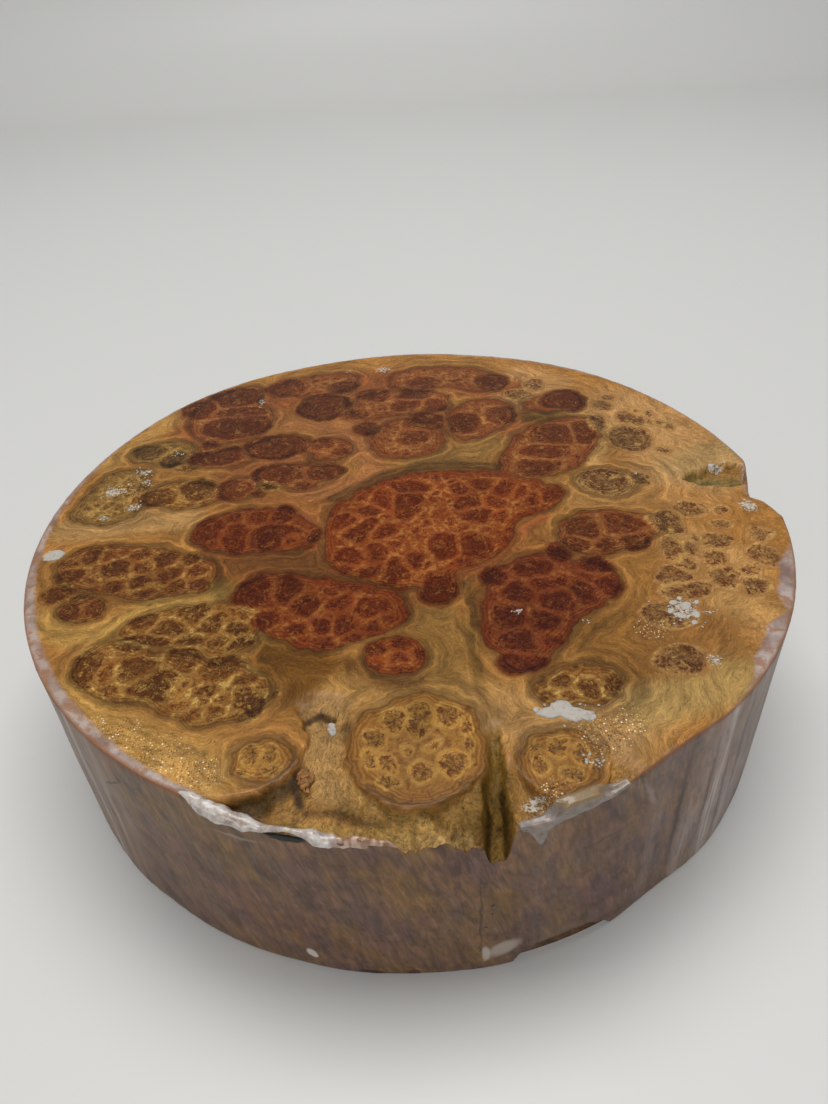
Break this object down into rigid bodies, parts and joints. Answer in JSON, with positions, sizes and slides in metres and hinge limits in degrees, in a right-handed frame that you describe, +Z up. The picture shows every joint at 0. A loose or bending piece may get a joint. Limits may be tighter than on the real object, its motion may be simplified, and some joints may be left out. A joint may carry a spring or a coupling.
{
  "type": "bowl blank",
  "caption": "Thick disc of figured burl wood with flat sawn faces, a natural bark edge and a cleft at the front rim and lumps of sealing wax; stock for turning a bowl.",
  "frame": {"origin": "on the axis of the sawn disc, at the underside it rests on", "axes": "+Z up along the disc's axis to the figured sawn face; -Y towards the natural edge at the front; +X right, towards the bark pocket in the rim"},
  "size_m": [0.28, 0.2815, 0.0784],
  "materials": {
    "burl_wood": "sawn and sanded mallee burl under a thin clear wax film: red-brown eyes in a golden network, olive valleys, brown-violet side, satin to glossy",
    "sealing_wax": "congealed paraffin end-grain sealer, milky white and translucent, satin"
  },
  "bodies": {
    "root": {"burl_blank": "burl_wood", "wax_bead": "sealing_wax", "wax_drip": "sealing_wax", "wax_flake_front": "sealing_wax", "wax_flake_left": "sealing_wax", "wax_flake_right": "sealing_wax"}
  },
  "joints": []
}
